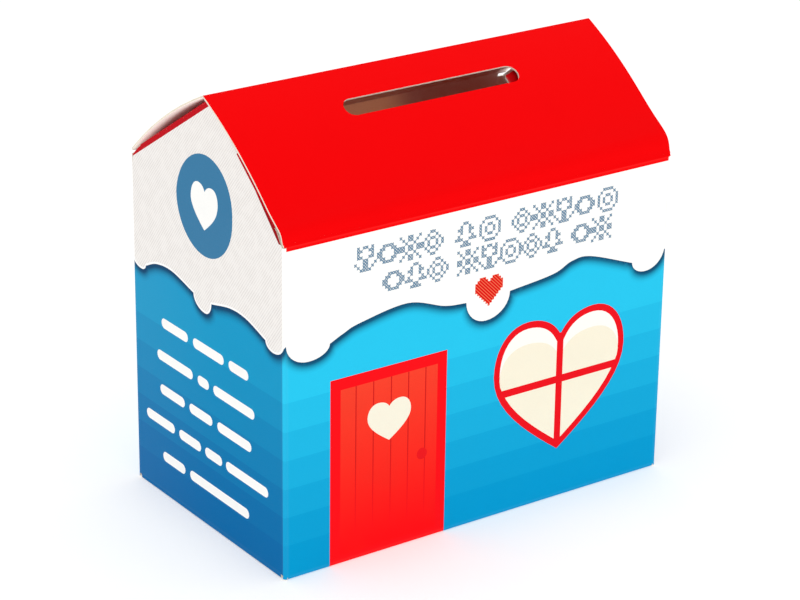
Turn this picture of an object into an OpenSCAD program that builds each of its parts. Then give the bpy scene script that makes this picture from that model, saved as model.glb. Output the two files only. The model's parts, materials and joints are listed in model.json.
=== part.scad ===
// House-shaped collecting box, die-cut and folded from one sheet of printed boxboard.
// Origin: middle of the base, on the surface it stands on. +X runs along the front wall,
// +Y runs from the front wall to the back wall, +Z is up. Sizes are millimetres, angles degrees.
// The real box is one blank. Its panels are separate solids here, parted at their creases.

/* [House] */
// Width along the front wall
house_w = 125; // [118:1:140]
// Depth from the front wall to the back wall
house_d = 75; // [70:1:84]
// Height of the front eave
eave_h = 93.5; // [86:0.5:105]
// Height of the ridge above the front eave
ridge_rise = 28.8; // [28:0.2:31]

/* [Board] */
// Thickness of the boxboard
board_t = 0.5; // [0.4:0.05:0.55]
// Outer radius of the folded corners
bend_r = 0.8; // [0.7:0.05:0.9]
// Thickness of the glue films
glue_t = 0.05; // [0.04:0.01:0.08]

/* [Roof] */
// Outward bow of the front roof panel
front_bow = 2.8; // [2.4:0.1:3.4]
// Outward bow of the back roof panel
back_bow = 1.8; // [1.5:0.1:2.2]
// Height of the back eave above the front eave
back_lift = 3.8; // [3.4:0.1:4.2]
// Length of the tuck flap
tuck_len = 14; // [10:0.5:15]
// Inward slope of the tuck flap from upright
tuck_slope = 20; // [18:1:24]

/* [Coin slot] */
// Length of the slot from end to end
slot_len = 56; // [45:1:60]
// Width of the slot
slot_w = 5.6; // [5.4:0.1:7]
// Distance from the ridge down to the middle of the slot
slot_drop = 13.4; // [12:0.1:14.5]
// Sideways place of the middle of the slot
slot_shift = 1; // [-2:0.5:2]

/* [Gables and their flaps] */
// How far the top of each gable leans inward
gable_lean = 1.9; // [1:0.1:2.2]
// Width of each gable flap, inward from its gable
flap_w = 35; // [28:1:36]
// Taper of a flap's ridge end, which lets neighbours pass
flap_taper = 15; // [13:1:18]
// Rise of a flap from square with its gable
flap_rise = 4; // [0:0.5:4]

/* [Base] */
// Reach of the side flaps inward from the gables
side_flap_w = 34; // [28:1:34]
// Reach of each interlocking tongue past the middle
tongue_reach = 14; // [10:1:16]

/* [Hidden] */
$fn = 48;

red = [0.93, 0.05, 0.07];
blue = [0.05, 0.6, 0.85];
white = [0.95, 0.94, 0.92];
grey = [0.8, 0.79, 0.76];
glue_colour = [0.9, 0.86, 0.7];

half_w = house_w / 2;
half_d = house_d / 2;
bead_r = board_t / 2;           // a folding crease is a bead on its hinge axis
hinge_gap = bead_r + 0.1;       // from a hinge axis to the edge of the panel that turns
fixed_gap = bead_r + 0.01;      // from a hinge axis to the edge of the panel that holds the bead
in_w = half_w - bend_r;         // flat panels end where the folded corners begin
in_d = half_d - bend_r;

// Hinge axes of the roof, as [y, z]
eave = [-(half_d - bead_r), eave_h - bead_r];
ridge = [0, eave[1] + ridge_rise];
tuck_inset = 0.65;              // from the back wall's outer face to the tuck hinge
tuck = [half_d - tuck_inset, eave[1] + back_lift];

// The base has two layers of board with a glue film between them
layer_2 = board_t + glue_t;
side_base_z = layer_2 + bend_r;
corner_cut = 0.3;               // relief where base panels meet at a corner
side_inset = 1;                 // from the ends of a gable's flat board to its base fold

// Gable outline: the flap hinges run along two slopes, with a relief at each eave
lean_z = eave_h - 0.9;          // the gables lean above this height
gable_front_z = eave_h + 0.6;
gable_back_z = eave_h + 3;
gable_top_z = ridge[1] - 1.05;
lean = atan(gable_lean / (gable_top_z - lean_z));
relief = 3.5;                   // from the wall to where the flap hinges begin
front_corner_z = lean_z + 0.2;
back_corner_z = eave_h + 2.2;
flap_front = [-(half_d - bead_r), gable_front_z - lean_z];
flap_back = [half_d - bead_r, gable_back_z - lean_z];
flap_top = [0, gable_top_z - lean_z];
flap_start = 6;                 // from the eave corner to a flap's near end
flap_end = 1;                   // from the ridge to a flap's far end
eave_taper = 8;                 // taper of a flap's eave end
bead_over = 1;                  // a flap's crease starts this far before the flap
bead_end = 0.6;                 // from the ridge to the end of a flap's crease

// ---------- geometry helpers ----------

function arc_r(chord, bow) = chord * chord / (8 * bow) + bow / 2;
function polar(r, a) = [r * cos(a), r * sin(a)];
function deg_of(len, r) = len / r * 180 / PI;
function slope_of(p, q) = atan2(q[1] - p[1], q[0] - p[0]);
function on_line(p, q, y) = p[1] + (q[1] - p[1]) * (y - p[0]) / (q[0] - p[0]);

// Centre of the arc that bows to the left of the way from p to q
function arc_centre(p, q, bow) =
    (p + q) / 2 - (arc_r(norm(q - p), bow) - bow) * polar(1, slope_of(p, q) + 90);

// Points of a rounded corner: centre c, radius r, from angle a to angle b
function corner(c, r, a, b, steps = 6) = [for (i = [0:steps]) c + polar(r, a + (b - a) * i / steps)];

module along_x(len) rotate([90, 0, 90]) linear_extrude(len) children();

// A quarter of a folded corner in the plane, quadrant from angle 180 to 270
module bend_profile() intersection() {
    difference() {
        circle(bend_r);
        circle(bend_r - board_t);
    }
    translate([-2 * bend_r, -2 * bend_r]) square(2 * bend_r);
}

module upright_corner(x, y, turn, z0, z1)
    translate([x, y, z0]) rotate(turn) linear_extrude(z1 - z0) bend_profile();

// A curved roof panel between two hinge axes, full width of the house
module bowed_panel(p, q, bow, trim_p, trim_q) {
    r = arc_r(norm(q - p), bow);
    c = arc_centre(p, q, bow);
    a_p = slope_of(c, p) - deg_of(trim_p, r);
    a_q = slope_of(c, q) + deg_of(trim_q, r);
    translate([-half_w, 0, 0]) along_x(house_w) intersection() {
        translate(c) difference() {
            circle(r + board_t / 2, $fn = 180);
            circle(r - board_t / 2, $fn = 180);
        }
        polygon([c, c + polar(1.2 * r, a_q), c + polar(1.2 * r, a_p)]);
    }
}

// A folding crease: a round bead along X on a hinge axis
module roof_bead(axis)
    translate([-half_w, axis[0], axis[1]]) rotate([0, 90, 0]) cylinder(h = house_w, r = bead_r, $fn = 24);

// Everything on the upper part of the left gable, drawn as [x inward, y, height above lean_z]
module leaning() translate([-half_w, 0, lean_z]) rotate([0, lean, 0]) children();

module on_right() mirror([1, 0, 0]) children();
module turned() rotate(180) children();

// ---------- walls ----------

module front_wall() color(blue)
    translate([-in_w, -half_d, bend_r]) cube([2 * in_w, board_t, eave[1] - bead_r - bend_r]);

// The back wall stops at the corner that folds inside the right gable
module back_wall() color(blue)
    translate([-in_w, half_d - board_t, bend_r])
        cube([2 * in_w - board_t - glue_t, board_t, back_corner_z - bend_r]);

// A place on the leaning upper gable, x in from its outer face and v up from lean_z, as [x, z]
function leaned(x, v) =
    [-half_w + x * cos(lean) + v * sin(lean), lean_z - x * sin(lean) + v * cos(lean)];

// The left gable's board seen from the front: upright to lean_z, then leaning inward
module bent_board() polygon([
    [-half_w, side_base_z],
    [-half_w, lean_z],
    leaned(0, flap_top[1] + 1),
    leaned(board_t, flap_top[1] + 1),
    [-half_w + board_t, lean_z - board_t * tan(lean / 2)],
    [-half_w + board_t, side_base_z]
]);

// Left gable wall from -in_d to back_y, cut to the house outline
module gable_wall(back_y) {
    front_y = -half_d + relief;
    rear_y = half_d - relief;
    drop = bead_r / cos(slope_of(flap_front, flap_top)) + bead_r * sin(lean);
    function height(v) = lean_z + v * cos(lean);
    intersection() {
        translate([0, half_d, 0]) rotate([90, 0, 0]) linear_extrude(house_d) bent_board();
        translate([-half_w - 1, 0, 0]) along_x(board_t + gable_lean + 2) polygon([
            [-in_d, side_base_z],
            [back_y, side_base_z],
            [back_y, back_corner_z],
            [rear_y, height(on_line(flap_back, flap_top, rear_y) - drop)],
            [0, height(flap_top[1] - drop)],
            [front_y, height(on_line(flap_front, flap_top, front_y) - drop)],
            [-in_d, front_corner_z]
        ]);
    }
}

module left_gable_wall() color(blue) gable_wall(in_d);

// The right gable wall covers the back corner, where its edge is glued over the seam flap
module right_gable_wall() color(blue) on_right() gable_wall(half_d);

module front_left_corner_crease() color(blue)
    upright_corner(-in_w, -in_d, 0, side_base_z, front_corner_z);
module front_right_corner_crease() color(blue)
    upright_corner(in_w, -in_d, 90, side_base_z, front_corner_z);
module back_left_corner_crease() color(blue)
    upright_corner(-in_w, in_d, -90, side_base_z, back_corner_z);
module back_right_corner_crease() color(blue)
    upright_corner(in_w - board_t - glue_t, in_d, 180, side_base_z, lean_z - seam_clear);

// ---------- side seam ----------

seam_w = 14;
seam_x = half_w - board_t - glue_t;
seam_slope = 3;
seam_clear = 1;                 // from the seam flap to the base and to the lean
seam_glue_inset = 1.5;

module seam_outline(inset) polygon([
    [in_d - inset, side_base_z + seam_clear + inset],
    [in_d - inset, lean_z - seam_clear - inset],
    [in_d - seam_w + inset, lean_z - seam_clear - seam_slope - inset],
    [in_d - seam_w + inset, side_base_z + seam_clear + seam_slope + inset]
]);

module side_seam_flap() color(grey)
    translate([seam_x - board_t, 0, 0]) along_x(board_t) seam_outline(0);
module side_seam_glue() color(glue_colour)
    translate([seam_x, 0, 0]) along_x(glue_t) seam_outline(seam_glue_inset);

// ---------- crash-lock base ----------

middle_gap = 0.3;                       // from the middle line to the flaps' straight edges
wedge_reach = in_d - middle_gap;        // the glue wedges fold on a 45 degree crease
tongue_w = 27.5;
tongue_x = 0.3;
tongue_root = 7;
tongue_chamfer = 4;
base_taper = 5;                         // narrowing of a front or back flap at the middle line
wedge_blunt = 10;                       // the wedges' blunt corners
side_taper = 12;                        // narrowing of each end of a side flap

// Front flap with its tongue, which lies over the back flap's right half
module base_flap() {
    linear_extrude(board_t) polygon([
        [-in_w + corner_cut, -in_d],
        [in_w - corner_cut, -in_d],
        [in_w - base_taper, -middle_gap],
        [-in_w + wedge_reach + corner_cut, -middle_gap]
    ]);
    translate([0, 0, board_t]) linear_extrude(board_t) polygon([
        [tongue_x, -middle_gap - tongue_root],
        [tongue_x + tongue_w, -middle_gap - tongue_root],
        [tongue_x + tongue_w, tongue_reach - tongue_chamfer],
        [tongue_x + tongue_w - tongue_chamfer, tongue_reach],
        [tongue_x + tongue_chamfer, tongue_reach],
        [tongue_x, tongue_reach - tongue_chamfer]
    ]);
}

module glue_wedge() linear_extrude(board_t) polygon([
    [-in_w, -in_d + corner_cut],
    [-in_w + wedge_reach - corner_cut, -middle_gap],
    [-in_w + wedge_blunt, -middle_gap],
    [-in_w, -middle_gap - wedge_blunt]
]);

module side_flap() {
    end_y = in_d - side_inset;
    free_x = -in_w + side_flap_w - bend_r;
    translate([0, 0, layer_2]) linear_extrude(board_t) polygon([
        [-in_w, -end_y],
        [free_x, -end_y + side_taper],
        [free_x, end_y - side_taper],
        [-in_w, end_y]
    ]);
}

// The glue lies where a wedge and the side flap above it overlap
glue_edge = 3;                          // from the wall to the glue
glue_near = 9;                          // the glue's corners along the wall and the middle line
glue_far = 14;
glue_mid = [13, 4];
glue_tip = [22, 7];
module wedge_glue() translate([0, 0, board_t]) linear_extrude(glue_t) polygon([
    [-in_w + glue_edge, -in_d + glue_near],
    [-in_w + glue_tip[0], -middle_gap - glue_tip[1]],
    [-in_w + glue_mid[0], -middle_gap - glue_mid[1]],
    [-in_w + glue_edge, -middle_gap - glue_far]
]);

module side_crease() translate([-in_w, in_d - side_inset, side_base_z]) rotate([90, 0, 0])
    linear_extrude(2 * (in_d - side_inset)) bend_profile();

module base_front_flap() color(white) base_flap();
module base_back_flap() color(white) turned() base_flap();
module base_front_glue_wedge() color(white) glue_wedge();
module base_back_glue_wedge() color(white) turned() glue_wedge();
module base_left_flap() color(grey) side_flap();
module base_right_flap() color(grey) on_right() side_flap();
module base_left_glue() color(glue_colour) wedge_glue();
module base_right_glue() color(glue_colour) turned() wedge_glue();
module base_front_crease() color(blue)
    translate([-in_w + corner_cut, -in_d, bend_r]) along_x(2 * (in_w - corner_cut)) bend_profile();
module base_back_crease() color(blue) mirror([0, 1, 0])
    translate([-in_w + corner_cut, -in_d, bend_r]) along_x(2 * (in_w - corner_cut)) bend_profile();
module base_left_crease() color(blue) side_crease();
module base_right_crease() color(blue) on_right() side_crease();

// ---------- roof ----------

module front_eave_crease() color(red) roof_bead(eave);
module ridge_crease() color(red) roof_bead(ridge);
module tuck_crease() color(red) roof_bead(tuck);

module slot_cutter() {
    r = arc_r(norm(ridge - eave), front_bow);
    c = arc_centre(eave, ridge, front_bow);
    a = slope_of(c, ridge) + deg_of(slot_drop, r);
    p = c + polar(r, a);
    translate([slot_shift, p[0], p[1]]) rotate([a - 90, 0, 0]) linear_extrude(3, center = true) {
        square([slot_len - slot_w, slot_w], center = true);
        for (side = [-1, 1]) translate([side * (slot_len - slot_w) / 2, 0]) circle(slot_w / 2);
    }
}

module front_roof_panel() color(red) difference() {
    bowed_panel(eave, ridge, front_bow, hinge_gap, fixed_gap);
    slot_cutter();
}

module back_roof_panel() color(red) bowed_panel(ridge, tuck, back_bow, hinge_gap, fixed_gap);

// Tuck flap, drawn flat with its hinge along X and its free edge towards -Y
module roof_tuck_flap() {
    top_w = half_w - 3;             // the flap narrows from its fold to its free edge
    low_w = half_w - 7;
    round_r = 6;
    color(red) translate([0, tuck[0], tuck[1]]) rotate([90 - tuck_slope, 0, 0])
        linear_extrude(board_t, center = true) polygon(concat(
            [[top_w, -hinge_gap], [-top_w, -hinge_gap]],
            corner([-low_w + round_r, -tuck_len + round_r], round_r, 190, 270),
            corner([low_w - round_r, -tuck_len + round_r], round_r, 270, 350)
        ));
}

// ---------- gable flaps ----------

// Runs children along a flap's hinge: X up the slope from the eave corner, -Y inward, Z up
module on_hinge(corner_point)
    leaning() translate([bead_r, corner_point[0], corner_point[1]])
        rotate([slope_of(corner_point, flap_top), 0, 0]) rotate(90) rotate([-flap_rise, 0, 0]) children();

module flap_bead(corner_point) {
    len = norm(flap_top - corner_point);
    on_hinge(corner_point) translate([flap_start - bead_over, 0, 0]) rotate([0, 90, 0])
        cylinder(h = len - flap_start + bead_over - bead_end, r = bead_r, $fn = 24);
}

module flap_board(corner_point) {
    len = norm(flap_top - corner_point);
    near_r = 3;
    far_r = 1;
    near = flap_start + flap_w * tan(eave_taper);
    far = len - flap_end - flap_w * tan(flap_taper);
    on_hinge(corner_point) linear_extrude(board_t, center = true) polygon(concat(
        [[flap_start, -hinge_gap]],
        corner([near + near_r, -flap_w + near_r], near_r, 180, 270),
        corner([far - far_r, -flap_w + far_r], far_r, 270, 360),
        [[len - flap_end, -hinge_gap]]
    ));
}

// The back of a gable is the mirror of its front, on the back slope
module back_half() mirror([0, 1, 0]) children();
back_corner = [-flap_back[0], flap_back[1]];

module left_front_flap_crease() color(red) flap_bead(flap_front);
module left_back_flap_crease() color(red) back_half() flap_bead(back_corner);
module right_front_flap_crease() color(red) on_right() flap_bead(flap_front);
module right_back_flap_crease() color(red) on_right() back_half() flap_bead(back_corner);
module left_front_gable_flap() color(red) flap_board(flap_front);
module left_back_gable_flap() color(red) back_half() flap_board(back_corner);
module right_front_gable_flap() color(red) on_right() flap_board(flap_front);
module right_back_gable_flap() color(red) on_right() back_half() flap_board(back_corner);

// ---------- the nodes ----------

front_wall();
back_wall();
left_gable_wall();
right_gable_wall();
front_left_corner_crease();
front_right_corner_crease();
back_left_corner_crease();
back_right_corner_crease();
side_seam_flap();
side_seam_glue();
base_front_flap();
base_back_flap();
base_front_glue_wedge();
base_back_glue_wedge();
base_left_flap();
base_right_flap();
base_left_glue();
base_right_glue();
base_front_crease();
base_back_crease();
base_left_crease();
base_right_crease();
front_eave_crease();
front_roof_panel();
ridge_crease();
back_roof_panel();
tuck_crease();
roof_tuck_flap();
left_front_flap_crease();
left_back_flap_crease();
right_front_flap_crease();
right_back_flap_crease();
left_front_gable_flap();
left_back_gable_flap();
right_front_gable_flap();
right_back_gable_flap();
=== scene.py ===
"""House-shaped collecting box, folded from one sheet of printed boxboard.

Lengths in this script are millimetres until a mesh or a light is made. Each panel is drawn flat,
as an outline with inks laid over each other, and is then bent to its place on the folded box.
"""
import json
import math
from itertools import groupby

import bpy
from mathutils import Matrix, Vector
from mathutils.geometry import delaunay_2d_cdt


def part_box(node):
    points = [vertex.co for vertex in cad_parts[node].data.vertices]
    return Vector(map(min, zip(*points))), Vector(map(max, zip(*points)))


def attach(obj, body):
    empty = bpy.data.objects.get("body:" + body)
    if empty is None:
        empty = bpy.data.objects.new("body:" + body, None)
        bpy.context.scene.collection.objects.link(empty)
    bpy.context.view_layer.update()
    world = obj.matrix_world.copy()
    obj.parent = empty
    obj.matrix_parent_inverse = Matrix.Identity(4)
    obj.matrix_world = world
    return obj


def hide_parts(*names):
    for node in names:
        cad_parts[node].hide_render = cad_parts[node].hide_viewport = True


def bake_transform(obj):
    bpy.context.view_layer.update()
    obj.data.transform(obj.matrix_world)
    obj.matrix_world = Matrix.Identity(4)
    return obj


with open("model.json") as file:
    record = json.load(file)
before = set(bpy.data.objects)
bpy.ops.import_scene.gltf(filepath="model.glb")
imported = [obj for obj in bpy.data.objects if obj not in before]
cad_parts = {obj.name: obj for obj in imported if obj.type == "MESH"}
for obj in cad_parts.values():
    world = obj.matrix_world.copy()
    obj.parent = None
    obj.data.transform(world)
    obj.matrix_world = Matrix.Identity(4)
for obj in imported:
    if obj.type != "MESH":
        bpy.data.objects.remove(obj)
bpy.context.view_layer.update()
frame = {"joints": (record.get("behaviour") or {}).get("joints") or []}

MM = 0.001


# ---------- sizes, from the CAD frame ----------

def mm_box(node):
    low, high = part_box(node)
    return low / MM, high / MM


def mm_size(node):
    low, high = mm_box(node)
    return high - low


def hinge(name):
    joint = next(j for j in frame["joints"] if j["name"] == name)
    return Vector(joint["pos_m"][1:]) / MM


wall_low, wall_high = mm_box("front_wall")
gable_low = mm_box("left_gable_wall")[0]
seam_low, seam_high = mm_box("side_seam_flap")
HALF_W = -gable_low.x
HALF_D = -wall_low.y
IN_W = wall_high.x                  # the flat walls end here, at the rounded corners
IN_D = -gable_low.y
BOARD = wall_high.y - wall_low.y    # thickness of the board
GLUE = mm_size("side_seam_glue").x
BEND = HALF_W - IN_W                # outer radius of a folded corner
ARC = BEND * math.pi / 2
BEAD = BOARD / 2
EAVE, RIDGE, TUCK = hinge("roof_open"), hinge("ridge_fold"), hinge("tuck_fold")
WALL_TOP = wall_high.z
WALL_FOOT = wall_low.z
BACK_TOP = mm_box("back_wall")[1].z
GABLE_FOOT = gable_low.z
CORNER_TOP = mm_box("front_left_corner_crease")[1].z
LEAN_Z = seam_high.z + 1            # the gables lean inward above this height
APEX = RIDGE.y - 1.05 - LEAN_Z      # top of the flap folds, 1.05 mm below the ridge's axis
LEAN = math.atan2(1.9, APEX)        # the tip leans in by 1.9 mm
FRONT_FOOT = Vector((-(HALF_D - BEAD), 1.5))    # feet and top of the flap folds, as y and
BACK_FOOT = Vector((HALF_D - BEAD, 3.9))        # height above LEAN_Z
TOP = Vector((0, APEX))
TURN_GAP = BEAD + 0.1               # from a hinge axis to the panel that turns
HOLD_GAP = BEAD + 0.01              # from a hinge axis to the panel that holds the fold
BORDER = 1.5                        # the roof's red ends this far below the folds
CORNER_FOOT = 0.35                  # the upright folds start here
OFF_SHEET = 140                     # a height above every sheet, where loops of ink may end
STITCH = 0.875                      # pitch of the cross-stitch


def new_object(name, data):
    piece = bpy.data.objects.new(name, data)
    bpy.context.scene.collection.objects.link(piece)
    return piece


def new_material(name):
    """A material with nodes, and its shader."""
    material = bpy.data.materials.new(name)
    material.use_nodes = True
    return material, next(n for n in material.node_tree.nodes if n.type == "BSDF_PRINCIPLED")


# ---------- flat shapes ----------

def rectangle(x0, y0, x1, y1):
    return [(x0, y0), (x1, y0), (x1, y1), (x0, y1)]


def arc(centre, radius, start, end, steps):
    """Points on a circle, angles in degrees."""
    turn = [math.radians(start + (end - start) * i / steps) for i in range(steps + 1)]
    return [(centre[0] + radius * math.cos(a), centre[1] + radius * math.sin(a)) for a in turn]


def capsule(x0, x1, y, radius, steps=8):
    """A dash with round ends."""
    return (arc((x1 - radius, y), radius, -90, 90, steps)
            + arc((x0 + radius, y), radius, 90, 270, steps))


def smooth(points, steps=8):
    """A Catmull-Rom curve through the points, without the last one."""
    ends = [2 * Vector(points[0]) - Vector(points[1])] + [Vector(p) for p in points]
    ends.append(2 * ends[-1] - ends[-2])
    out = []
    for a, b, c, d in zip(ends, ends[1:], ends[2:], ends[3:]):
        for i in range(steps):
            t = i / steps
            out.append(tuple(0.5 * (2 * b + (c - a) * t + (2 * a - 5 * b + 4 * c - d) * t * t
                                    + (3 * b - 3 * c + d - a) * t ** 3)))
    return out


def bezier(a, b, c, d, steps=10):
    a, b, c, d = map(Vector, (a, b, c, d))
    out = []
    for i in range(steps):
        t = i / steps
        k = 1 - t
        out.append(tuple(a * k ** 3 + 3 * b * k * k * t + 3 * c * k * t * t + d * t ** 3))
    return out


def lobe(start, bottom, end, steps=9):
    """A hanging drop from start round its bottom to end, without the end point."""
    turn = [math.pi / 2 * i / steps for i in range(steps)]
    down = [(bottom[0] - (bottom[0] - start[0]) * math.cos(a),
             start[1] - (start[1] - bottom[1]) * math.sin(a)) for a in turn]
    return down + [(bottom[0] + (end[0] - bottom[0]) * math.sin(a),
                    end[1] - (end[1] - bottom[1]) * math.cos(a)) for a in turn]


def heart(x, y, half_width, height):
    """A heart whose tip is at (x, y)."""
    side = (bezier((0, 0.85), (0.08, 0.93), (0.24, 1.0), (0.50, 1.0))
            + bezier((0.50, 1.0), (0.80, 1.0), (1.0, 0.86), (1.0, 0.66))
            + bezier((1.0, 0.66), (1.0, 0.42), (0.50, 0.20), (0, 0)))
    left = [(-a, b) for a, b in side[1:]]
    return [(x + a * half_width, y + b * height) for a, b in side + [(0, 0)] + left[::-1]]


def inset(loop, distance):
    """A closed loop moved inward, with its corners kept."""
    area = sum(a[0] * b[1] - b[0] * a[1] for a, b in zip(loop, loop[1:] + loop[:1]))
    side = math.copysign(distance, area)
    out = []
    for a, b, c in zip(loop[-1:] + loop, loop, loop[1:] + loop[:1]):
        into, away = (Vector(b) - Vector(a)).normalized(), (Vector(c) - Vector(b)).normalized()
        normal = Vector((-into.y - away.y, into.x + away.x)).normalized()
        reach = max(0.35, normal.dot(Vector((-into.y, into.x))))
        out.append(tuple(Vector(b) + normal * side / reach))
    return out


def within(x, y, loop):
    hit = False
    for (x0, y0), (x1, y1) in zip(loop, loop[1:] + loop[:1]):
        if (y0 > y) != (y1 > y) and x < x0 + (x1 - x0) * (y - y0) / (y1 - y0):
            hit = not hit
    return hit


def nearest(x, y, path):
    """Distance from a point to an open path."""
    best = 1e9
    for (x0, y0), (x1, y1) in zip(path, path[1:]):
        dx, dy = x1 - x0, y1 - y0
        t = max(0, min(1, ((x - x0) * dx + (y - y0) * dy) / (dx * dx + dy * dy + 1e-12)))
        best = min(best, math.hypot(x - x0 - t * dx, y - y0 - t * dy))
    return best


# ---------- materials ----------

def rgb(r, g, b):
    """A colour from screen values 0 to 255."""
    def linear(c):
        c /= 255
        return c / 12.92 if c <= 0.04045 else ((c + 0.055) / 1.055) ** 2.4
    return (linear(r), linear(g), linear(b), 1)


class Finish:
    """Builds one material from the sheet's own print coordinates, which are millimetres."""

    def __init__(self, name, roughness, gloss):
        self.material, self.shader = new_material(name)
        self.tree = self.material.node_tree
        self.shader.inputs["Specular IOR Level"].default_value = gloss
        self.roughness = roughness
        self.uv = self.add("ShaderNodeUVMap", uv_map="print").outputs[0]
        self.u, self.v, _ = self.add("ShaderNodeSeparateXYZ", {0: self.uv}).outputs
        self.heights = []

    def add(self, kind, inputs=None, **settings):
        node = self.tree.nodes.new(kind)
        for key, value in settings.items():
            setattr(node, key, value)
        for key, value in (inputs or {}).items():
            if isinstance(value, bpy.types.NodeSocket):
                self.tree.links.new(value, node.inputs[key])
            else:
                node.inputs[key].default_value = value
        return node

    def op(self, operation, a, b=0.0, c=0.0):
        return self.add("ShaderNodeMath", {0: a, 1: b, 2: c}, operation=operation).outputs[0]

    def remap(self, value, low, high, to_low=0.0, to_high=1.0):
        return self.add("ShaderNodeMapRange", {0: value, 1: low, 2: high, 3: to_low, 4: to_high},
                        interpolation_type="SMOOTHSTEP").outputs[0]

    def mix(self, a, b, factor):
        return self.add("ShaderNodeMix", {0: factor, 6: a, 7: b}, data_type="RGBA").outputs[2]

    def noise(self, scale, detail=2.0, stretch=None):
        vector = self.uv
        if stretch:
            vector = self.add("ShaderNodeVectorMath", {0: self.uv, 1: stretch},
                              operation="MULTIPLY").outputs[0]
        return self.add("ShaderNodeTexNoise", {"Vector": vector, "Scale": scale, "Detail": detail}
                        ).outputs[0]

    def attribute(self, name):
        return self.add("ShaderNodeAttribute", attribute_name=name).outputs["Fac"]

    def link(self, value, key):
        self.tree.links.new(value, self.shader.inputs[key])

    def raise_by(self, height, amount):
        self.heights.append(self.op("MULTIPLY", height, amount))

    def close(self, colour, rough_noise):
        """Links colour, roughness and relief to the shader. Relief is in micrometres."""
        self.link(colour, "Base Color")
        low, high = self.roughness - 0.06, self.roughness + 0.08
        self.link(self.remap(rough_noise, 0.3, 0.7, low, high), "Roughness")
        height = self.heights[0]
        for more in self.heights[1:]:
            height = self.op("ADD", height, more)
        bump = self.add("ShaderNodeBump", {"Height": height, "Distance": 1e-6, "Strength": 1.0})
        self.link(bump.outputs[0], "Normal")
        return self.material


WHITE = rgb(252, 250, 246)
SCUFF = rgb(246, 240, 232)
LIT_THREAD = rgb(255, 150, 110)
DEEP = rgb(12, 52, 92)
BOARDING = 8.1                      # height of one printed board of the walls
THREAD = 0.3                        # half the width of a thread, as a part of a stitch
INK = {}


def ink(name, top, low=None, span=(0, 60), grain=0.05, wall=False, weave=None, stitch=None,
        slant=None, haze=None):
    """Printed, coated board. The ink runs from the colour low to the colour top over the span.

    wall adds boarding and the shadow under the icing's edge. weave is the pitch of a linen
    pattern, stitch the pitch of cross-stitch on white board, slant the pitch of satin stitch,
    and haze the part of the sheet that is painted paler, as a painted haze of light.
    """
    f = Finish(name, 0.5, 0.025)
    level = f.v
    if wall:
        # each board keeps one tone, a little darker under the next one's edge
        lap = f.op("FRACT", f.op("DIVIDE", f.op("SUBTRACT", f.v, 2.0), BOARDING))
        level = f.op("ADD", f.v, f.op("MULTIPLY", f.op("SUBTRACT", 0.45, lap), 8.6))
    blend = f.add("ShaderNodeMapRange", {0: level, 1: span[0], 2: span[1]}).outputs[0]
    colour = f.mix(low or top, top, f.op("POWER", blend, 1.3))
    if haze:
        # painted haze of light, strongest at the start of the span and gone at its end
        colour = f.mix(colour, WHITE, f.remap(f.u, *haze, 0.014, 0.0))
    speckle = f.noise(2.6, 3.0)
    cloud = f.noise(0.07, 2.0)
    dark = tuple(c * 0.62 for c in top[:3]) + (1,)
    colour = f.mix(colour, dark, f.remap(speckle, 0.5, 0.8, 0.0, grain))
    colour = f.mix(colour, dark, f.remap(cloud, 0.45, 0.75, 0.0, grain))
    if weave:
        rise = f.op("SUBTRACT", f.u, f.op("MULTIPLY", f.v, 0.8))
        fall = f.op("ADD", f.u, f.op("MULTIPLY", f.v, 0.8))
        warp, weft = (f.op("SINE", f.op("MULTIPLY", c, 6.283 / weave)) for c in (rise, fall))
        over = f.op("MAXIMUM", warp, f.op("MULTIPLY", weft, 0.45))
        slub = f.op("MULTIPLY", over, f.remap(f.noise(0.3, 2.0), 0.35, 0.65, 0.55, 1.0))
        colour = f.mix(colour, rgb(190, 183, 178), f.remap(slub, 0.0, 0.9, 0.0, 0.42))
        f.raise_by(slub, 6.0)
    if stitch:
        a, b = (f.op("FRACT", f.op("DIVIDE", c, stitch)) for c in (f.u, f.v))
        rise = f.op("ABSOLUTE", f.op("SUBTRACT", a, b))
        fall = f.op("ABSOLUTE", f.op("SUBTRACT", f.op("ADD", a, b), 1.0))
        thread = f.remap(f.op("MINIMUM", rise, fall), THREAD - 0.06, THREAD + 0.06, 1.0, 0.0)
        cells = f.add("ShaderNodeVectorMath", {0: f.uv, 1: (stitch,) * 3}, operation="DIVIDE")
        cells = f.add("ShaderNodeVectorMath", {0: cells.outputs[0]}, operation="FLOOR")
        tint = f.add("ShaderNodeTexWhiteNoise", {0: cells.outputs[0]}).outputs[0]
        worn = f.mix(colour, WHITE, f.remap(tint, 0.0, 1.0, 0.0, 0.08))
        colour = f.mix(WHITE, worn, thread)
        f.raise_by(thread, 5.0)
    if slant:
        across = f.op("FRACT", f.op("DIVIDE", f.op("ADD", f.u, f.v), slant))
        gap = f.op("ABSOLUTE", f.op("SUBTRACT", across, 0.5))
        colour = f.mix(colour, LIT_THREAD, f.remap(gap, 0.28, 0.5, 0.0, 0.8))
        f.raise_by(gap, 5.0)
    if wall:
        colour = f.mix(colour, DEEP, f.attribute("shade"))
    fibre = f.noise(5.5, 3.0)
    scuff = f.op("MULTIPLY", f.attribute("rub"), f.remap(fibre, 0.35, 0.6, 0.4, 1.0))
    colour = f.mix(colour, SCUFF, scuff)
    f.raise_by(fibre, 9.0)
    f.raise_by(cloud, 60.0)
    INK[name] = f.close(colour, speckle)


BARE = rgb(226, 222, 214)
# painted glow: unprinted board emits this very weak red, as if lit through the sheet
THROUGH_SHEET = (0.025, 0.001, 0.0004, 1)   # very weak red light


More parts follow.
